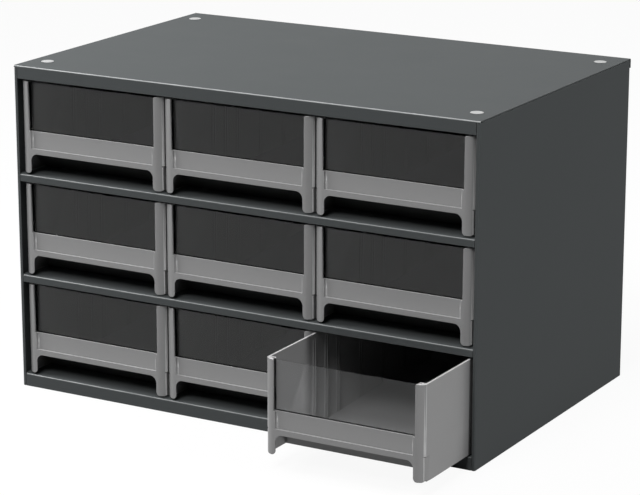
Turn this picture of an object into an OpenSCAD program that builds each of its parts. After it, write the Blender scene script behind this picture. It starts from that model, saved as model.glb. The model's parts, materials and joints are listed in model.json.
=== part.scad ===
// Small parts cabinet: a folded steel case with three rows of three sliding drawers.
// Millimetres. Origin at the middle of the base, +X to the right along the front, +Y to the back, +Z up.

/* [Cabinet] */
// Width across the side panels
cabinet_w = 431.8; // [425:0.1:450]
// Height from the base to the top panel's upper face
cabinet_h = 278.4; // [265:0.1:300]
// Depth of the side panels
cabinet_d = 280; // [265:1:320]
// Thickness of the sheet steel
sheet_t = 1.2; // [0.9:0.1:1.4]
// Outer radius of the folds
bend_r = 1.5; // [1.5:0.1:2]
// Height of the top panel's front flange
top_flange_h = 11; // [9:0.1:14]
// Height of the top panel's rear flange
rear_flange_h = 8; // [5:0.1:12]
// Height of the base rail under the lower row
base_h = 11; // [9:0.1:14]
// Height of a shelf's front flange
shelf_flange_h = 6.2; // [5:0.1:8]
// Width of the side panels' front strip
side_strip_w = 3; // [2.5:0.1:3.4]
// Width of the side panels' rear return
side_return_w = 8; // [5:0.1:9]
// Width of the side panels' base return
base_return_w = 30; // [24:0.5:40]

/* [Fixing holes and plugs] */
// Distance between the holes across the cabinet
hole_spacing_x = 400; // [396:0.5:402]
// Distance between the holes from front to back
hole_spacing_y = 228; // [150:1:240]
// Radius of the holes in the top and the base
hole_r = 3.5; // [2.5:0.1:4]
// Largest radius of a plug's head
plug_head_r = 5.4; // [4.8:0.1:7]
// Height of a plug's head
plug_head_h = 0.4; // [0.4:0.1:2]

/* [Drawers] */
// Distance between the centres of neighbouring columns
column_pitch = 140.7; // [139.9:0.1:141]
// Outer width of a tray
tray_w = 139.3; // [130:0.1:139.5]
// Thickness of the tray's walls
wall_t = 1.9; // [1.6:0.1:2.1]
// Thickness of the tray's floor
floor_t = 1.6; // [1.2:0.1:2.2]
// Gap between a tray's top and the flange above it
tray_top_gap = 1.9; // [1:0.1:2.4]
// Height at which the runner beads carry a tray above its shelf
tray_lift = 1.5; // [1.4:0.1:2.6]
// Set-back of a closed tray behind the cabinet's front
tray_setback = 0.8; // [0.4:0.1:3]
// How far a drawer slides out before its ears meet the flange
drawer_travel = 205; // [150:1:220]
// How far the lower right drawer stands open
open_by = 76; // [0:1:150]

/* [Tray front] */
// Width of a post beside the window
post_w = 7.7; // [6.5:0.1:9]
// How far a post's round face falls back towards its outer corner
post_slant = 4.2; // [2:0.1:4.4]
// Width of the frame beside the bar
bar_side_w = 9.2; // [9:0.1:11]
// Width of a leg
leg_w = 9.1; // [8.6:0.1:10]
// Height of the lip's lower edge above the tray's base
lip_low = 16.7; // [14:0.1:18]
// Height of the lip's upper edge
lip_high = 21.3; // [20.5:0.1:23]
// Height of the bar's upper edge
bar_high = 36; // [30:0.1:42]
// Depth of the bar's recess behind the lip
bar_recess = 2.2; // [1.4:0.1:2.4]
// Depth of the finger recess under the front
finger_d = 29; // [22:0.5:36]
// Thickness of the clear window
window_t = 1.2; // [0.8:0.1:1.3]

/* [Divider ribs] */
// Distance from the front to the first pair of ribs
rib_first = 73; // [50:1:80]
// Distance between pairs of ribs
rib_pitch = 38; // [30:1:38]
// How far a rib stands out from the wall
rib_proud = 0.9; // [0.8:0.1:2]
// Width of one rib
rib_w = 1.6; // [1.2:0.1:2.2]
// Width of the divider slot between a pair of ribs
rib_slot = 1.8; // [1.2:0.1:2.4]

/* [Hidden] */
$fn = 64;
row_names = ["lower", "middle", "upper"];
column_names = ["left", "centre", "right"];
last = len(row_names) - 1;

steel = [0.235, 0.245, 0.247];
tray_grey = [0.5, 0.5, 0.505];
clear = [0.8, 0.83, 0.85, 0.3];
pale = [0.88, 0.89, 0.89];

// cabinet faces
half_w = cabinet_w / 2;
front_y = -cabinet_d / 2;
back_y = cabinet_d / 2;
side_in = half_w - sheet_t;
flange_half = half_w - side_strip_w - 0.5;
side_top = cabinet_h - bend_r - 0.1;
back_out = back_y - sheet_t;
back_in = back_out - sheet_t;
fold_clear = front_y + bend_r;

// rows
bay_h = (cabinet_h - top_flange_h - base_h - 2 * shelf_flange_h) / 3;
row_step = bay_h + shelf_flange_h;
function row_floor(row) = base_h + row * row_step;

// runner beads
bead_gap = 0.4;
bead_h = tray_lift - bead_gap;
bead_r = 6;
bead_half = sqrt(bead_r * bead_r - (bead_r - bead_h) * (bead_r - bead_h));
bead_offset = 50;
bead_front = front_y + 35;
bead_back = back_y - 20;

// tray faces, measured from the tray's own front, base and middle
half_tray = tray_w / 2;
tray_h = bay_h - tray_top_gap - tray_lift;
tray_front = front_y + tray_setback;
tray_back_gap = 0.8;
tray_d = back_in - tray_back_gap - tray_front;
wall_in = half_tray - wall_t;
rear_r = 4;
ceiling_low = lip_high - 0.6;
ceiling_high = ceiling_low + wall_t;

// posts and window slot
post_in = half_tray - post_w;
post_t = 1.6;
post_ease = 1.5;
post_r = (post_w * post_w + post_slant * post_slant) / (2 * post_slant);
corner_r = 1.3;
corner_y = post_r - sqrt((post_r - corner_r) ^ 2 - (post_w - corner_r) ^ 2);
corner_way = [post_w - corner_r, corner_y - post_r] / (post_r - corner_r);
face_end = [post_in, post_r] + post_r * corner_way;
face_skin = 0.8;
bar_t = 1.4;
bar_back = bar_recess + bar_t;
recess_r = min(1.8, bar_recess - 0.2);
slot_play = 0.15;
slot_end = wall_in - 2.4;
slot_rear = bar_back + window_t + 2 * slot_play;
slot_rib_t = 1.5;
slot_rib_in = post_in + 0.35;
slot_rib_back = slot_rear + slot_rib_t;
edge_r = 1.5;
bar_in = half_tray - bar_side_w;
leg_in = half_tray - leg_w;
leg_t = 1.2;
leg_r = 3.5;
leg_outer_r = 3;
lip_r = 6;
leg_step = 0.6;
leg_step_d = 11;
notch_h = 0.8;
notch_in = 0.8;
notch_d = 9;

// ears that stop the drawer behind the flange above
ear_h = 4;
ear_play = 0.5;
ear_y = front_y + sheet_t + ear_play + drawer_travel - tray_front;
ear_flat = 4;
ear_l = 12;

rib_places = concat(
    [for (i = [0:1]) rib_first + i * rib_pitch / 2],
    [for (i = [1:4]) rib_first + i * rib_pitch]
);
rib_drop = 4;

function tray_name(row, column) = str(row_names[row], "_", column_names[column], "_tray");
function window_name(row, column) = str(row_names[row], "_", column_names[column], "_window");
function pulled_out(row, column) = row == 0 && column == last ? open_by : 0;

// A box and a rectangle between two corners
module block(low, high) translate(low) cube(high - low);
module rect(low, high) translate(low) square(high - low);

// An outline drawn in (y, z), drawn out along x
module along_x(x0, x1) translate([x0, 0, 0]) rotate([90, 0, 90]) linear_extrude(x1 - x0) children();

// An outline drawn in (x, z), drawn out along y
module along_y(y0, y1) translate([0, y1, 0]) rotate([90, 0, 0]) linear_extrude(y1 - y0) children();

// A quarter turn of folded sheet about a point
module fold(centre, turn) translate(centre) rotate(turn) intersection() {
    difference() {
        circle(bend_r);
        circle(bend_r - sheet_t);
    }
    square(bend_r);
}

module both_sides() {
    children();
    mirror([1, 0, 0]) children();
}

module at_fixing_holes(z) {
    for (side = [-1, 1]) for (end = [-1, 1])
        translate([side * hole_spacing_x / 2, end * hole_spacing_y / 2, z]) children();
}

// Plan of the right side panel: front strip, side and rear return
module side_plan() {
    rect([side_in, front_y + bend_r], [half_w, back_y - bend_r]);
    fold([half_w - bend_r, front_y + bend_r], 270);
    rect([half_w - side_strip_w, front_y], [half_w - bend_r, front_y + sheet_t]);
    fold([half_w - bend_r, back_y - bend_r], 0);
    rect([half_w - side_return_w, back_out], [half_w - bend_r, back_y]);
}

module side_panel() color(steel) difference() {
    union() {
        linear_extrude(side_top) side_plan();
        block([half_w - base_return_w, front_y + 3, 0], [side_in + 0.1, back_in - 2.5, sheet_t]);
    }
    at_fixing_holes(-1) cylinder(r = hole_r, h = sheet_t + 2);
}

module left_side_panel() mirror([1, 0, 0]) side_panel();
module right_side_panel() side_panel();

// Front fold and flange of a horizontal sheet whose upper face is at z
module front_flange_outline(z, height) {
    fold([front_y + bend_r, z - bend_r], 90);
    rect([front_y, z - height], [front_y + sheet_t, z - bend_r]);
}

module top_panel() color(steel) difference() {
    union() {
        along_x(-half_w, half_w) {
            rect([fold_clear, cabinet_h - sheet_t], [back_y + sheet_t - bend_r, cabinet_h]);
            fold([fold_clear, cabinet_h - bend_r], 90);
            fold([back_y + sheet_t - bend_r, cabinet_h - bend_r], 0);
            rect([back_y, cabinet_h - rear_flange_h], [back_y + sheet_t, cabinet_h - bend_r]);
        }
        along_x(-flange_half, flange_half) front_flange_outline(cabinet_h, top_flange_h);
        both_sides() block(
            [side_in - sheet_t, front_y + 4, cabinet_h - top_flange_h],
            [side_in, back_in - 2, cabinet_h - sheet_t]
        );
    }
    at_fixing_holes(cabinet_h - sheet_t - 1) cylinder(r = hole_r, h = sheet_t + 2);
}

// A runner bead along y on a sheet whose upper face is at z
module bead_outline() intersection() {
    translate([0, bead_h - bead_r]) circle(bead_r);
    rect([-bead_r, -0.4], [bead_r, bead_h]);
}

module bead(x, z) translate([x, 0, z]) {
    along_y(bead_front, bead_back) bead_outline();
    for (y = [bead_front, bead_back]) translate([0, y, 0]) rotate_extrude() intersection() {
        bead_outline();
        rect([0, -1], [bead_r, bead_r]);
    }
}

// A shelf with its front flange, end flanges and runner beads
module shelf_sheet(z, flange_h) {
    block([-side_in, fold_clear, z - sheet_t], [side_in, back_in, z]);
    along_x(-flange_half, flange_half) front_flange_outline(z, flange_h);
    for (column = [-1:1]) for (side = [-1, 1])
        bead(column * column_pitch + side * bead_offset, z);
}

module shelf(z) color(steel) {
    shelf_sheet(z, shelf_flange_h);
    both_sides() block([side_in - sheet_t, front_y + 4, z - shelf_flange_h], [side_in, back_in, z - sheet_t]);
}

module lower_shelf() shelf(row_floor(1));
module upper_shelf() shelf(row_floor(2));

module bottom_panel() color(steel) {
    shelf_sheet(base_h, base_h);
    both_sides() block([side_in - sheet_t, front_y + 4, sheet_t], [side_in, back_in - 3, base_h - sheet_t]);
    block(
        [-(half_w - base_return_w - 1), back_in - sheet_t, 0],
        [half_w - base_return_w - 1, back_in, base_h]
    );
}

module back_panel() color(steel) block([-side_in, back_in, 0], [side_in, back_out, cabinet_h - sheet_t]);

// A push-in plug: low head with an undercut rim, stem through the sheet and a barb below it
module plug() {
    play = 0.1;
    head_slope = 0.5;
    head_edge = 0.2;
    undercut = 0.3;
    barb_out = 0.4;
    barb_h = 0.8;
    tip_in = 1;
    stem_r = hole_r - play;
    barb_z = -sheet_t - play;
    tip_z = barb_z - 3.6;
    rotate_extrude() polygon([
        [0, plug_head_h],
        [plug_head_r - head_slope, plug_head_h],
        [plug_head_r, plug_head_h - head_edge],
        [plug_head_r - undercut, 0],
        [stem_r, 0],
        [stem_r, barb_z],
        [stem_r + barb_out, barb_z],
        [stem_r + barb_out, barb_z - barb_h],
        [stem_r - tip_in, tip_z],
        [0, tip_z]
    ]);
}

module top_hole_plugs() color(pale) at_fixing_holes(cabinet_h) plug();

// Plan of a box with round rear corners
module rear_rounded(half, y0, y1, r) {
    rect([-half, y0], [half, y1 - r]);
    rect([-half + r, y0], [half - r, y1]);
    for (side = [-1, 1]) translate([side * (half - r), y1 - r]) circle(r);
}

// Right half of the front's plan: round post face, outer corner, window slot and the rib behind it.
// It starts at face_in, where it is edge_t thick.
module corner_plan(face_in, edge_t) {
    polygon([
        [face_in, 0],
        [post_in, 0],
        face_end,
        [half_tray, corner_y],
        [half_tray, slot_rib_back],
        [slot_rib_in, slot_rib_back],
        [slot_rib_in, slot_rear],
        [slot_end, slot_rear],
        [slot_end, bar_back],
        [face_in + post_ease, bar_back],
        [face_in, edge_t]
    ]);
    translate([half_tray - corner_r, corner_y]) circle(corner_r);
    intersection() {
        translate([post_in, post_r]) circle(post_r, $fn = 96);
        polygon([
            [post_in, face_skin],
            [post_in, -face_skin],
            face_end + post_r * corner_way,
            face_end - face_skin * corner_way
        ]);
    }
}

// Plan of the bar's recess, with a round inner corner
module recess_plan() {
    rect([-1, -1], [bar_in, bar_recess - recess_r]);
    rect([-1, -1], [bar_in - recess_r, bar_recess]);
    translate([bar_in - recess_r, bar_recess - recess_r]) circle(recess_r);
}

// A cut into the tray's outer side below the lip's upper edge, which runs out towards the back
module side_cut(height, inward, reach) translate([0, 0, ceiling_low - height])
    linear_extrude(height) polygon([
        [half_tray - inward, -1],
        [half_tray + 1, -1],
        [half_tray + 1, reach],
        [half_tray, reach],
        [half_tray - inward, corner_y]
    ]);

// A small step at the outer side of a leg, with a notch along its top
module leg_step_cut() {
    side_cut(ceiling_low + 1, leg_step, leg_step_d);
    side_cut(notch_h, leg_step + notch_in, notch_d);
}

// The room behind a leg, which leaves the leg as a thin plate
module leg_hollow() translate([0, 0, -1]) linear_extrude(lip_low + 1) polygon([
    [-1, leg_t],
    [post_in, leg_t],
    [wall_in, leg_t + (wall_in - post_in) * post_slant / post_w],
    [wall_in, slot_rib_back + 1],
    [-1, slot_rib_back + 1]
]);

// Right half of the front's face below the bar: leg, lip and bar
module lower_face() difference() {
    rect([-0.1, 0], [half_tray, bar_high]);
    rect([-1, -1], [leg_in, lip_low - lip_r]);
    rect([-1, -1], [leg_in - lip_r, lip_low]);
    translate([leg_in - lip_r, lip_low - lip_r]) circle(lip_r);
    difference() {
        rect([leg_in - 1, -1], [leg_in + leg_r, leg_r]);
        translate([leg_in + leg_r, leg_r]) circle(leg_r);
    }
    difference() {
        rect([half_tray - leg_outer_r, -1], [half_tray + 1, leg_outer_r]);
        translate([half_tray - leg_outer_r, leg_outer_r]) circle(leg_outer_r);
    }
}

// Right post beside the window, with a round inner corner at its top
module post_face() difference() {
    rect([post_in - 1, bar_high - 0.5], [half_tray, tray_h]);
    difference() {
        rect([post_in - 2, tray_h - edge_r], [post_in + edge_r, tray_h + 1]);
        translate([post_in + edge_r, tray_h - edge_r]) circle(edge_r);
    }
}

module front_half() {
    difference() {
        intersection() {
            linear_extrude(bar_high) corner_plan(-0.1, bar_back);
            along_y(-1, slot_rib_back + 1) lower_face();
        }
        translate([0, 0, lip_high]) linear_extrude(bar_high) recess_plan();
        leg_step_cut();
        leg_hollow();
    }
    intersection() {
        translate([0, 0, bar_high - 0.5]) linear_extrude(tray_h - bar_high + 0.5)
            corner_plan(post_in, post_t);
        along_y(-1, slot_rib_back + 1) post_face();
    }
}

module divider_ribs() both_sides() for (place = rib_places) for (side = [-1, 1]) {
    y = place + side * (rib_slot + rib_w) / 2;
    block(
        [wall_in - rib_proud, y - rib_w / 2, floor_t - 0.2],
        [wall_in + 0.2, y + rib_w / 2, tray_h - rib_drop]
    );
}

module stop_ears() both_sides() along_x(wall_in, half_tray) polygon([
    [ear_y, tray_h - 0.5],
    [ear_y, tray_h + ear_h],
    [ear_y + ear_flat, tray_h + ear_h],
    [ear_y + ear_l, tray_h],
    [ear_y + ear_l, tray_h - 0.5]
]);

// Side walls and rear wall
module tray_walls() difference() {
    linear_extrude(tray_h) difference() {
        rear_rounded(half_tray, slot_rib_back - 0.2, tray_d, rear_r);
        rear_rounded(wall_in, 0, tray_d - wall_t, rear_r - wall_t);
    }
    both_sides() leg_step_cut();
}

// One moulded tray, its front at y = 0 and its base at z = 0
module tray() {
    both_sides() front_half();
    tray_walls();
    linear_extrude(floor_t) rear_rounded(half_tray - 0.1, finger_d, tray_d - 0.1, rear_r);
    block([-wall_in - 0.2, finger_d, 0], [wall_in + 0.2, finger_d + wall_t, ceiling_high]);
    block([-wall_in - 0.2, bar_back - 0.3, ceiling_low], [wall_in + 0.2, finger_d + wall_t, ceiling_high]);
    divider_ribs();
    stop_ears();
}

// The clear sheet that stands in a tray's front slot
module window_sheet() {
    window_half = slot_end - 2 * slot_play;
    window_top = tray_h - 1.2;
    window_r = 1;
    along_y(bar_back + slot_play, bar_back + slot_play + window_t)
        difference() {
            rect([-window_half, ceiling_high + 0.1], [window_half, window_top]);
            for (side = [-1, 1]) difference() {
                translate([side * window_half, window_top]) square(2 * window_r, center = true);
                translate([side * (window_half - window_r), window_top - window_r]) circle(window_r);
            }
        }
}

module at_drawer(row, column)
    translate([(column - 1) * column_pitch, tray_front - pulled_out(row, column), row_floor(row) + tray_lift])
        children();

left_side_panel();
right_side_panel();
top_panel();
bottom_panel();
back_panel();
upper_shelf();
lower_shelf();
top_hole_plugs();
for (row = [0:last]) for (column = [0:last]) {
    color(tray_grey) at_drawer(row, column) tray();
    color(clear) at_drawer(row, column) window_sheet();
}
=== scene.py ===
import json
from math import radians

import bmesh
import bpy
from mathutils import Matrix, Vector

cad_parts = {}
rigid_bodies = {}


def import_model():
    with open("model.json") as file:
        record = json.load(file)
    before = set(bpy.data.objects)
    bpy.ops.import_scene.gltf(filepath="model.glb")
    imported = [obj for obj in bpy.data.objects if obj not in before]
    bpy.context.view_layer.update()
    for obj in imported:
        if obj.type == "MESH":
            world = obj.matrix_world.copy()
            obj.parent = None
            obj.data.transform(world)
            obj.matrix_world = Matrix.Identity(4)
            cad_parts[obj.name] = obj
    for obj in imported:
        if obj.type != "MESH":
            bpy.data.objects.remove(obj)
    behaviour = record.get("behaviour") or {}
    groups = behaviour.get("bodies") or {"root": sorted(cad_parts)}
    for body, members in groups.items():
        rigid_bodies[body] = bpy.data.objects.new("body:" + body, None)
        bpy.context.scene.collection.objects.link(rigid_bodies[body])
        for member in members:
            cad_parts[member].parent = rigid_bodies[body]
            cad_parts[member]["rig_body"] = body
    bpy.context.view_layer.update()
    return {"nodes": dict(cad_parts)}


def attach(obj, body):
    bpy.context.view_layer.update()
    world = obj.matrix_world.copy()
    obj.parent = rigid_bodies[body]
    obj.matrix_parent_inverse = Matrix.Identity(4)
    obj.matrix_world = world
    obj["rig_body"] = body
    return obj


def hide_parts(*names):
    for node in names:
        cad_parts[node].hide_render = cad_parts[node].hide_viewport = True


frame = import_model()
scene = bpy.context.scene
scene.view_settings.view_transform = "Standard"
print("frame loaded,", len(frame["nodes"]), "nodes")


# A new object in the scene
def addObject(name, data):
    thing = bpy.data.objects.new(name, data)
    scene.collection.objects.link(thing)
    return thing


# A new object from a bmesh, in its material
def addPiece(name, shape, material):
    mesh = bpy.data.meshes.new(name)
    shape.to_mesh(mesh)
    shape.free()
    mesh.materials.append(material)
    return addObject(name, mesh)


# Camera at the photograph's viewing angle: metres, degrees, and millimetres for the lens
viewPoint = {
    "place": (1.0828575, -1.883594, 0.7102547),
    "turn": (74.752, 0.0, 29.977),
    "lens": 149.215,
    "sensor": 36.0,
    "nearest": 0.05,
    "farthest": 60.0,
}


def buildCamera(view):
    data = bpy.data.cameras.new("viewCamera")
    data.sensor_fit = "HORIZONTAL"
    data.sensor_width = view["sensor"]
    data.lens = view["lens"]
    data.clip_start = view["nearest"]
    data.clip_end = view["farthest"]
    camera = addObject("viewCamera", data)
    camera.location = view["place"]
    camera.rotation_euler = [radians(a) for a in view["turn"]]
    scene.camera = camera


buildCamera(viewPoint)
print("camera placed")


# Small helpers for node trees
def emptyTree(owner):
    owner.use_nodes = True
    owner.node_tree.nodes.clear()
    return owner.node_tree


def addNode(tree, kind, x, y, **settings):
    node = tree.nodes.new(kind)
    node.location = (x, y)
    for name, value in settings.items():
        setattr(node, name, value)
    return node


def setInputs(node, values):
    for label, value in values.items():
        node.inputs[label].default_value = value


def withAlpha(color):
    return (*color, 1.0)


# Node groups: every input gets its value where the group is placed
number = "NodeSocketFloat"
tint = "NodeSocketColor"


def startGroup(name, inputs, outputs):
    group = bpy.data.node_groups.new(name, "ShaderNodeTree")
    for label, kind in inputs.items():
        group.interface.new_socket(label, in_out="INPUT", socket_type=kind)
    for label, kind in outputs.items():
        group.interface.new_socket(label, in_out="OUTPUT", socket_type=kind)
    entry = addNode(group, "NodeGroupInput", -900, 0)
    leave = addNode(group, "NodeGroupOutput", 700, 0)
    return group, entry, leave


def placeGroup(tree, group, x, y, values):
    node = addNode(tree, "ShaderNodeGroup", x, y)
    node.node_tree = group
    setInputs(node, values)
    return node


# A texture on the piece's own coordinates, at the group's scale
def addPattern(group, entry, kind, x, y, values):
    coords = addNode(group, "ShaderNodeTexCoord", x - 200, y)
    pattern = addNode(group, kind, x, y)
    setInputs(pattern, values)
    group.links.new(coords.outputs["Object"], pattern.inputs["Vector"])
    group.links.new(entry.outputs["Scale"], pattern.inputs["Scale"])
    return pattern


# Fine grain: a height that a Bump node in each material reads
grainPattern = {"detail": 3.0, "rough": 0.55, "pitReach": 0.35}


def buildSurfaceGrain(look):
    inputs = {"Scale": number, "Pit": number}
    group, entry, leave = startGroup("surfaceGrain", inputs, {"Height": number})
    noise = {"Detail": look["detail"], "Roughness": look["rough"]}
    fine = addPattern(group, entry, "ShaderNodeTexNoise", -450, 200, noise)
    pits = addPattern(group, entry, "ShaderNodeTexVoronoi", -450, -150, {})
    pitEdge = addNode(group, "ShaderNodeMapRange", -200, -150)
    setInputs(pitEdge, {"From Max": look["pitReach"]})
    scaled = addNode(group, "ShaderNodeMath", 50, -150, operation="MULTIPLY")
    both = addNode(group, "ShaderNodeMath", 300, 0, operation="ADD")
    group.links.new(pits.outputs["Distance"], pitEdge.inputs["Value"])
    group.links.new(pitEdge.outputs["Result"], scaled.inputs[0])
    group.links.new(entry.outputs["Pit"], scaled.inputs[1])
    group.links.new(fine.outputs["Fac"], both.inputs[0])
    group.links.new(scaled.outputs["Value"], both.inputs[1])
    group.links.new(both.outputs["Value"], leave.inputs["Height"])
    return group


# Slow drift of a colour over the surface, around its own value
tonePattern = {"detail": 4.0, "middle": 0.5}


def buildToneDrift(look):
    inputs = {"Color": tint, "Scale": number, "Amount": number}
    group, entry, leave = startGroup("toneDrift", inputs, {"Color": tint})
    cloud = addPattern(group, entry, "ShaderNodeTexNoise", -450, 200, {"Detail": look["detail"]})
    centred = addNode(group, "ShaderNodeMath", -250, 200, operation="SUBTRACT")
    centred.inputs[1].default_value = look["middle"]
    swing = addNode(group, "ShaderNodeMath", -50, 200, operation="MULTIPLY_ADD")
    swing.inputs[2].default_value = 1.0  # no drift leaves the colour as it is
    drifted = addNode(group, "ShaderNodeVectorMath", 250, 0, operation="SCALE")
    group.links.new(cloud.outputs["Fac"], centred.inputs[0])
    group.links.new(centred.outputs["Value"], swing.inputs[0])
    group.links.new(entry.outputs["Amount"], swing.inputs[1])
    group.links.new(entry.outputs["Color"], drifted.inputs[0])
    group.links.new(swing.outputs["Value"], drifted.inputs["Scale"])
    group.links.new(drifted.outputs["Vector"], leave.inputs["Color"])
    return group


# A second colour, in patches, on the faces that a piece marks: painted highlights on edges and rims,
# and painted shadow in a window's slot
paintedLightPattern = {"detail": 4.0, "from": (0.25, 0.7), "least": 0.7}


def buildPaintedHighlightAndShade(look):
    inputs = {"Color": tint, "Painted Light Color": tint, "Scale": number, "Amount": number}
    group, entry, leave = startGroup("paintedHighlightAndShade", inputs, {"Color": tint, "Mask": number})
    paintedLight = addNode(group, "ShaderNodeAttribute", -700, -200, attribute_name="paintedLightMask")
    patch = addPattern(group, entry, "ShaderNodeTexNoise", -500, 200, {"Detail": look["detail"]})
    spread = addNode(group, "ShaderNodeMapRange", -300, 200)
    low, high = look["from"]
    setInputs(spread, {"From Min": low, "From Max": high, "To Min": look["least"]})
    patched = addNode(group, "ShaderNodeMath", -100, 0, operation="MULTIPLY")
    share = addNode(group, "ShaderNodeMath", 100, 0, operation="MULTIPLY")
    blend = addNode(group, "ShaderNodeMix", 350, 100, data_type="RGBA")
    group.links.new(patch.outputs["Fac"], spread.inputs["Value"])
    group.links.new(spread.outputs["Result"], patched.inputs[0])
    group.links.new(paintedLight.outputs["Fac"], patched.inputs[1])
    group.links.new(patched.outputs["Value"], share.inputs[0])
    group.links.new(entry.outputs["Amount"], share.inputs[1])
    group.links.new(share.outputs["Value"], blend.inputs["Factor"])
    group.links.new(entry.outputs["Color"], blend.inputs["A"])
    group.links.new(entry.outputs["Painted Light Color"], blend.inputs["B"])
    group.links.new(blend.outputs["Result"], leave.inputs["Color"])
    group.links.new(share.outputs["Value"], leave.inputs["Mask"])
    return group


# Roughness that wanders between two values
sheenPattern = {"detail": 5.0, "from": (0.3, 0.7)}


def buildSheenDrift(look):
    inputs = {"Scale": number, "Low": number, "High": number}
    group, entry, leave = startGroup("sheenDrift", inputs, {"Roughness": number})
    cloud = addPattern(group, entry, "ShaderNodeTexNoise", -450, 200, {"Detail": look["detail"]})
    span = addNode(group, "ShaderNodeMapRange", -150, 100)
    low, high = look["from"]
    setInputs(span, {"From Min": low, "From Max": high})
    group.links.new(cloud.outputs["Fac"], span.inputs["Value"])
    group.links.new(entry.outputs["Low"], span.inputs["To Min"])
    group.links.new(entry.outputs["High"], span.inputs["To Max"])
    group.links.new(span.outputs["Result"], leave.inputs["Roughness"])
    return group


surfaceGrain = buildSurfaceGrain(grainPattern)
toneDrift = buildToneDrift(tonePattern)
paintedHighlightAndShade = buildPaintedHighlightAndShade(paintedLightPattern)
sheenDrift = buildSheenDrift(sheenPattern)
print("node groups built")


# What every finish of the cabinet shares: a drifting colour, the painted highlight and shadow of the
# marked faces, and a wandering gloss
def startFinish(name, look):
    material = bpy.data.materials.new(name)
    tree = emptyTree(material)
    output = addNode(tree, "ShaderNodeOutputMaterial", 700, 0)
    skin = addNode(tree, "ShaderNodeBsdfPrincipled", 350, 0)
    setInputs(skin, {"IOR": look["ior"]})
    tone = {
        "Color": withAlpha(look["color"]),
        "Scale": look["driftScale"],
        "Amount": look["driftAmount"],
    }
    marked = {
        "Painted Light Color": withAlpha(look["paintedLightColor"]),
        "Scale": look["paintedLightScale"],
        "Amount": look["paintedLightAmount"],
    }
    gloss = {
        "Scale": look["sheenScale"],
        "Low": look["roughLow"],
        "High": look["roughHigh"],
    }
    drift = placeGroup(tree, toneDrift, -500, 250, tone)
    paintedLight = placeGroup(tree, paintedHighlightAndShade, -200, 250, marked)
    sheen = placeGroup(tree, sheenDrift, -200, 0, gloss)
    tree.links.new(drift.outputs["Color"], paintedLight.inputs["Color"])
    tree.links.new(paintedLight.outputs["Color"], skin.inputs["Base Color"])
    tree.links.new(sheen.outputs["Roughness"], skin.inputs["Roughness"])
    tree.links.new(skin.outputs["BSDF"], output.inputs["Surface"])
    return material, skin, paintedLight


# A painted or moulded finish: grain all over, and a coat on the faces that carry the painted
# highlight
def buildOpaque(name, look):
    material, skin, paintedLight = startFinish(name, look)
    tree = material.node_tree
    setInputs(skin, {"Specular IOR Level": look["specular"], "Coat Roughness": look["coatRough"]})
    pattern = {"Scale": look["grainScale"], "Pit": look["grainPit"]}
    grain = placeGroup(tree, surfaceGrain, -500, -300, pattern)
    bump = addNode(tree, "ShaderNodeBump", 0, -300)
    setInputs(bump, {"Strength": look["grainStrength"], "Distance": look["grainDepth"]})
    tree.links.new(paintedLight.outputs["Mask"], skin.inputs["Coat Weight"])
    tree.links.new(grain.outputs["Height"], bump.inputs["Height"])
    tree.links.new(bump.outputs["Normal"], skin.inputs["Normal"])
    return material


# Charcoal powder coat of the steel case
paintLook = {
    "color": (0.0635, 0.0688, 0.0702),
    # The second colour below is a painted highlight on the folds, corners and edges of the case
    "paintedLightColor": (0.35, 0.36, 0.362),
    "specular": 0.01,
    "ior": 1.5,
    "coatRough": 0.22,
    "roughLow": 0.39,
    "roughHigh": 0.41,
    "driftScale": 7.0,
    "driftAmount": 0.06,
    "paintedLightScale": 70.0,
    "paintedLightAmount": 1.0,
    "sheenScale": 25.0,
    "grainScale": 800.0,
    "grainPit": 0.2,
    "grainStrength": 0.12,
    "grainDepth": 0.00006,
}
cabinetPaint = buildOpaque("cabinetPaint", paintLook)

# Mid grey moulded plastic of the trays
trayLook = {
    "color": (0.19, 0.19, 0.191),
    # The second colour below is a painted highlight on the rims, lip ledge, post corners and front
    # edges of the trays
    "paintedLightColor": (0.6, 0.6, 0.6),
    "specular": 0.65,
    "ior": 1.5,
    "coatRough": 0.25,
    "roughLow": 0.38,
    "roughHigh": 0.42,
    "driftScale": 14.0,
    "driftAmount": 0.06,
    "paintedLightScale": 90.0,
    "paintedLightAmount": 0.8,
    "sheenScale": 40.0,
    "grainScale": 2600.0,
    "grainPit": 0.5,
    "grainStrength": 0.1,
    "grainDepth": 0.00004,
}
trayPlastic = buildOpaque("trayPlastic", trayLook)

# Pale plastic of the plugs in the top
plugLook = {
    "color": (0.34, 0.344, 0.344),
    # The second colour below is a painted highlight on the rounded edges of the plugs
    "paintedLightColor": (0.4, 0.404, 0.404),
    "specular": 0.2,
    "ior": 1.5,
    "coatRough": 0.2,
    "roughLow": 0.3,
    "roughHigh": 0.4,
    "driftScale": 120.0,
    "driftAmount": 0.05,
    "paintedLightScale": 300.0,
    "paintedLightAmount": 0.3,
    "sheenScale": 150.0,
    "grainScale": 2200.0,
    "grainPit": 0.3,
    "grainStrength": 0.08,
    "grainDepth": 0.00004,
}
plugPlastic = buildOpaque("plugPlastic", plugLook)

# Clear sheet of the windows: a faint haze in its gloss, and a painted shadow where it stands in its
# slot
windowLook = {
    "color": (0.86, 0.865, 0.87),
    # The second colour below is a painted shadow on the part of the sheet that stands in its slot
    "paintedLightColor": (0.004, 0.004, 0.004),
    "transmission": 1.0,
    "ior": 1.31,
    "roughLow": 0.02,
    "roughHigh": 0.07,
    "driftScale": 20.0,
    "driftAmount": 0.02,
    "paintedLightScale": 60.0,
    "paintedLightAmount": 1.0,
    "sheenScale": 55.0,
}


def buildClearSheet(look):
    material, skin = startFinish("clearSheet", look)[:2]
    setInputs(skin, {"Transmission Weight": look["transmission"]})
    return material


clearSheet = buildClearSheet(windowLook)
print("materials built")

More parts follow.
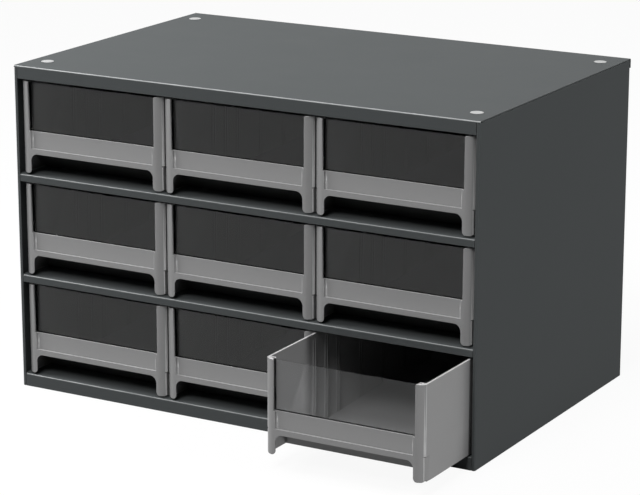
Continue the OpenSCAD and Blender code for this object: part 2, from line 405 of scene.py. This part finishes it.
# How each kind of piece has its edges rounded: width in metres, least angle in degrees,
# and share of painted highlight on the rounding
edgeRounding = {
    "side": {"width": 0.00012, "segments": 2, "angle": 32.0, "paintedLight": 0.2},
    "top": {"width": 0.00012, "segments": 2, "angle": 32.0, "paintedLight": 0.2},
    "shelf": {"width": 0.00012, "segments": 2, "angle": 32.0, "paintedLight": 0.2},
    "tray": {"width": 0.0003, "segments": 2, "angle": 32.0, "paintedLight": 0.12},
    "plug": {"width": 0.00012, "segments": 2, "angle": 28.0, "paintedLight": 0.5},
}
roundingRoom = 2.5  # face that an edge needs on each side, in widths of its rounding


# An edge is rounded only where the faces beside it have room
def hasRoom(edge, width):
    needed = roundingRoom * width * edge.calc_length()
    return all(f.calc_area() > needed for f in edge.link_faces)


def isSharp(edge, limit, width):
    if not edge.is_manifold or not edge.is_convex:
        return False
    return edge.calc_face_angle() > limit and hasRoom(edge, width)


def sharpEdges(shape, rounding):
    limit = radians(rounding["angle"])
    return [e for e in shape.edges if isSharp(e, limit, rounding["width"])]


# Which narrow faces of round folds and corners get a painted highlight: widest face in metres,
# rise and sideways turn of its normal, and share of painted highlight
paintedHighlightStrips = {
    "top": {"widest": 0.0004, "rise": (0.45, 0.9), "turn": (-1.0, 1.0), "share": 0.75},
    "shelf": {"widest": 0.0004, "rise": (0.55, 0.9), "turn": (-1.0, 1.0), "share": 0.5},
    "tray": {"widest": 0.0003, "rise": (-0.1, 0.1), "turn": (0.7, 0.98), "share": 0.7},
}


def markStrips(shape, mark, strip):
    low, high = strip["rise"]
    least, most = strip["turn"]
    for face in shape.faces:
        longEdges = sorted(face.edges, key=lambda e: e.calc_length())[-2:]
        narrow = face.calc_area() < strip["widest"] * longEdges[1].calc_length()
        turned = low < face.normal.z < high and least <= abs(face.normal.x) <= most
        if narrow and turned and all(e.is_convex for e in longEdges):
            face[mark] = strip["share"]


# Level faces of a tray that get a painted highlight: its rim below the stop ears, and the ledge on
# its lip
trayLevels = {
    "rise": 0.9,
    "reach": 0.0003,
    "earHeight": 0.004,
    "rimShare": 1.0,
    "lipHeight": 0.0213,
    "lipShare": 0.35,
}


def markLevels(shape, mark, levels):
    heights = [v.co.z for v in shape.verts]
    rim = max(heights) - levels["earHeight"]
    lip = min(heights) + levels["lipHeight"]
    for face in shape.faces:
        if face.normal.z <= levels["rise"]:
            continue
        middle = face.calc_center_median()
        if abs(middle.z - rim) < levels["reach"]:
            face[mark] = levels["rimShare"]
        if abs(middle.z - lip) < levels["reach"]:
            face[mark] = levels["lipShare"]


# A tray's edges are rounded only at its front and along its rim
trayRounding = {"front": 0.0125, "rim": 0.0006}


def isOuterEdge(edge, front, rim):
    return all(v.co.y < front for v in edge.verts) or all(v.co.z > rim for v in edge.verts)


def outerEdges(shape, edges, reach):
    front = min(v.co.y for v in shape.verts) + reach["front"]
    rim = max(v.co.z for v in shape.verts) - trayLevels["earHeight"] - reach["rim"]
    return [e for e in edges if isOuterEdge(e, front, rim)]


# The part of a window that stands in its slot, with a painted shadow: height above its lower edge,
# width at its ends, and share of the painted shadow colour
windowSeat = {"height": 0.0139, "ends": 0.0034, "share": 1.0}


def markSeat(shape, mark, seat):
    level = min(v.co.z for v in shape.verts) + seat["height"]
    left = min(v.co.x for v in shape.verts) + seat["ends"]
    right = max(v.co.x for v in shape.verts) - seat["ends"]
    cuts = (((0, 0, level), (0, 0, 1)), ((left, 0, 0), (1, 0, 0)), ((right, 0, 0), (1, 0, 0)))
    for place, normal in cuts:
        parts = shape.verts[:] + shape.edges[:] + shape.faces[:]
        bmesh.ops.bisect_plane(shape, geom=parts, plane_co=place, plane_no=normal)
    for face in shape.faces:
        middle = face.calc_center_median()
        if middle.z < level or middle.x < left or middle.x > right:
            face[mark] = seat["share"]


# A copy of a CAD node's shape, with its flat faces whole again: metres and degrees
cleanUp = {"weld": 0.00001, "flat": 0.4}


def copyNode(nodeName):
    shape = bmesh.new()
    shape.from_mesh(frame["nodes"][nodeName].data)
    bmesh.ops.remove_doubles(shape, verts=shape.verts[:], dist=cleanUp["weld"])
    bmesh.ops.dissolve_limit(
        shape,
        angle_limit=radians(cleanUp["flat"]),
        use_dissolve_boundaries=False,
        verts=shape.verts[:],
        edges=shape.edges[:],
    )
    return shape


def roundEdges(shape, mark, edges, rounding):
    made = bmesh.ops.bevel(
        shape,
        geom=edges,
        offset=rounding["width"],
        offset_type="OFFSET",
        affect="EDGES",
        segments=rounding["segments"],
        profile=0.5,
        clamp_overlap=False,
        material=-1,
    )
    # The rounded faces get their share of painted highlight
    for face in made["faces"]:
        face[mark] = max(face[mark], rounding["paintedLight"])


# Gives the shares of painted highlight and painted shadow on the faces to their corners, where the
# materials read them
def keepMarks(shape, mark):
    paintedLight = shape.loops.layers.float.new("paintedLightMask")
    for face in shape.faces:
        face.smooth = True
        face.material_index = 0
        for loop in face.loops:
            loop[paintedLight] = face[mark]
    shape.faces.layers.float.remove(mark)


# The piece that stands for a CAD node: its shape with marked faces and rounded edges
def dressNode(nodeName, pieceName, kind, material):
    shape = copyNode(nodeName)
    mark = shape.faces.layers.float.new("edgeMark")
    if kind in paintedHighlightStrips:
        markStrips(shape, mark, paintedHighlightStrips[kind])
    if kind == "tray":
        markLevels(shape, mark, trayLevels)
    if kind == "window":
        markSeat(shape, mark, windowSeat)
    if kind in edgeRounding:
        rounding = edgeRounding[kind]
        edges = sharpEdges(shape, rounding)
        if kind == "tray":
            edges = outerEdges(shape, edges, trayRounding)
        roundEdges(shape, mark, edges, rounding)
    keepMarks(shape, mark)
    piece = addPiece(pieceName, shape, material)
    piece.modifiers.new("evenShading", "WEIGHTED_NORMAL")
    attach(piece, frame["nodes"][nodeName]["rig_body"])
    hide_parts(nodeName)


# The steel case
casePieces = {
    "left_side_panel": ("leftSide", "side"),
    "right_side_panel": ("rightSide", "side"),
    "top_panel": ("topSheet", "top"),
    "bottom_panel": ("bottomSheet", "shelf"),
    "back_panel": ("backSheet", "side"),
    "upper_shelf": ("upperShelfSheet", "shelf"),
    "lower_shelf": ("lowerShelfSheet", "shelf"),
}
for nodeName, (pieceName, kind) in casePieces.items():
    dressNode(nodeName, pieceName, kind, cabinetPaint)
dressNode("top_hole_plugs", "topPlugs", "plug", plugPlastic)
print("case built")

# The drawers
rowNames = ("lower", "middle", "upper")
columnNames = ("left", "centre", "right")
for row in rowNames:
    for column in columnNames:
        drawer = row + "_" + column
        stem = row + column.capitalize()
        dressNode(drawer + "_tray", stem + "Tray", "tray", trayPlastic)
        dressNode(drawer + "_window", stem + "Window", "window", clearSheet)
print("drawers built")

anyBounce = 0.5  # a diffuse depth above this is light that a matt face has passed on


# 1 for the camera, in reflections and through the windows, 0 for light that a matt face has passed on
def whiteToTheEye(tree):
    path = addNode(tree, "ShaderNodeLightPath", -500, 400)
    first = addNode(tree, "ShaderNodeMath", -300, 400, operation="MAXIMUM")
    second = addNode(tree, "ShaderNodeMath", -100, 400, operation="MAXIMUM")
    early = addNode(tree, "ShaderNodeMath", -100, 200, operation="LESS_THAN")
    early.inputs[1].default_value = anyBounce
    both = addNode(tree, "ShaderNodeMath", 100, 400, operation="MULTIPLY")
    tree.links.new(path.outputs["Is Camera Ray"], first.inputs[0])
    tree.links.new(path.outputs["Is Glossy Ray"], first.inputs[1])
    tree.links.new(first.outputs["Value"], second.inputs[0])
    tree.links.new(path.outputs["Is Transmission Ray"], second.inputs[1])
    tree.links.new(path.outputs["Diffuse Depth"], early.inputs[0])
    tree.links.new(second.outputs["Value"], both.inputs[0])
    tree.links.new(early.outputs["Value"], both.inputs[1])
    return both.outputs["Value"]


# Pale floor that reads white and keeps a faint shadow
floorLook = {
    "size": 6.0,
    "segments": 8,
    "drop": 0.0004,
    "glow": 0.93,
    "shadow": (0.05, 0.05, 0.05),
    "bounce": (0.3, 0.3, 0.3),
}


def buildFloorFinish(look):
    material = bpy.data.materials.new("paleFloor")
    tree = emptyTree(material)
    output = addNode(tree, "ShaderNodeOutputMaterial", 900, 0)
    choice = addNode(tree, "ShaderNodeMixShader", 700, 0)
    matt = addNode(tree, "ShaderNodeBsdfDiffuse", 300, 100)
    setInputs(matt, {"Color": withAlpha(look["bounce"])})
    glow = addNode(tree, "ShaderNodeEmission", 100, -150)
    setInputs(glow, {"Strength": look["glow"]})
    faint = addNode(tree, "ShaderNodeBsdfDiffuse", 100, -300)
    setInputs(faint, {"Color": withAlpha(look["shadow"])})
    pale = addNode(tree, "ShaderNodeAddShader", 400, -200)
    tree.links.new(glow.outputs["Emission"], pale.inputs[0])
    tree.links.new(faint.outputs["BSDF"], pale.inputs[1])
    tree.links.new(whiteToTheEye(tree), choice.inputs["Fac"])
    tree.links.new(matt.outputs["BSDF"], choice.inputs[1])
    tree.links.new(pale.outputs["Shader"], choice.inputs[2])
    tree.links.new(choice.outputs["Shader"], output.inputs["Surface"])
    return material


def buildFloor(look):
    shape = bmesh.new()
    count = look["segments"]
    bmesh.ops.create_grid(shape, x_segments=count, y_segments=count, size=look["size"])
    bmesh.ops.translate(shape, verts=shape.verts[:], vec=(0.0, 0.0, -look["drop"]))
    floor = addPiece("paleFloor", shape, buildFloorFinish(look))


buildFloor(floorLook)

# World: a little even light, white where it is seen
worldLook = {"color": (1.0, 1.0, 1.0), "light": 0.03, "seen": 1.0}


def buildWorld(look):
    world = bpy.data.worlds.new("studioWorld")
    tree = emptyTree(world)
    color = withAlpha(look["color"])
    output = addNode(tree, "ShaderNodeOutputWorld", 900, 0)
    choice = addNode(tree, "ShaderNodeMixShader", 700, 0)
    light = addNode(tree, "ShaderNodeBackground", 400, 100)
    setInputs(light, {"Color": color, "Strength": look["light"]})
    seen = addNode(tree, "ShaderNodeBackground", 400, -100)
    setInputs(seen, {"Color": color, "Strength": look["seen"]})
    tree.links.new(whiteToTheEye(tree), choice.inputs["Fac"])
    tree.links.new(light.outputs["Background"], choice.inputs[1])
    tree.links.new(seen.outputs["Background"], choice.inputs[2])
    tree.links.new(choice.outputs["Shader"], output.inputs["Surface"])
    scene.world = world


buildWorld(worldLook)

# Studio lamps: direction from the cabinet, distance and panel size in metres, and power in watts
lamps = {
    "nearLeft": {"way": (-0.78, -0.3, 0.55), "far": 1.15, "size": (0.5, 0.5), "power": 10.5},
    "highFront": {"way": (0.04, -0.68, 0.72), "far": 6.0, "size": (2.2, 1.6), "power": 190.0},
    "rightSide": {"way": (0.85, 0.05, 0.5), "far": 5.0, "size": (0.3, 1.8), "power": 128.0},
    "overhead": {"way": (0.0, -0.32, 1.0), "far": 4.0, "size": (2.0, 1.6), "power": 78.0},
    "overLeft": {"way": (-0.48, 0.04, 0.88), "far": 2.0, "size": (0.7, 0.9), "power": 4.0},
}
lampTarget = Vector((0.0, 0.0, 0.14))


def buildLamp(name, lamp):
    data = bpy.data.lights.new(name, "AREA")
    data.shape = "RECTANGLE"
    data.size, data.size_y = lamp["size"]
    data.energy = lamp["power"]
    panel = addObject(name, data)
    way = Vector(lamp["way"]).normalized()
    panel.location = lampTarget + way * lamp["far"]
    panel.rotation_euler = way.to_track_quat("Z", "Y").to_euler()
    panel.visible_camera = False


for name, lamp in lamps.items():
    buildLamp(name, lamp)
print("floor, world and lamps built")
